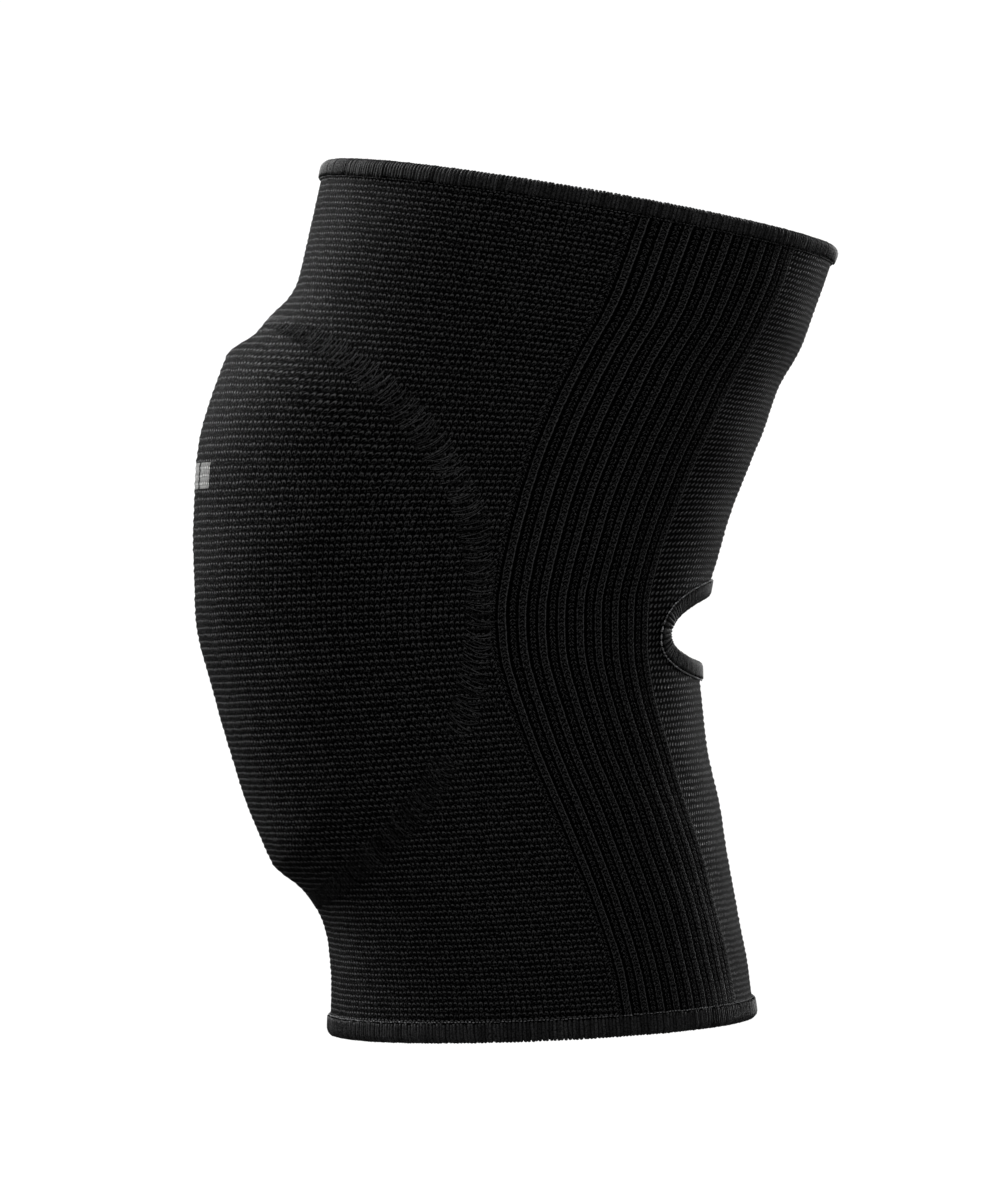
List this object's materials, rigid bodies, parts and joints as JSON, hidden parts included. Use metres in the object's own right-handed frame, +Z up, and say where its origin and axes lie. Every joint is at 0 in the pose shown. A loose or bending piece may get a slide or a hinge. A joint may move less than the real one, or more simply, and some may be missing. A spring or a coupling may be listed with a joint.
{
  "type": "volleyball knee pad",
  "caption": "Knitted elastic knee sleeve with a foam pad in front, thread-edged mouths, ribbed sides and an oval opening behind the knee, in the form a bent knee gives it",
  "frame": {"origin": "the middle of the knee inside the sleeve, level with the opening at the back", "axes": "+Z up along the bent leg, -X to the front of the knee, +X to the hollow of the knee, +Y to one side"},
  "size_m": [0.1678, 0.1234, 0.2266],
  "materials": {
    "black_knit": "matte ribbed knit, elastic yarn",
    "foam": "soft closed-cell foam faced with plain cloth",
    "black_thread": "overlocked thread"
  },
  "bodies": {
    "root": {"sleeve": "black_knit", "foam_pad": "foam", "top_hem": "black_thread", "bottom_hem": "black_thread", "hole_binding": "black_thread"}
  },
  "joints": []
}
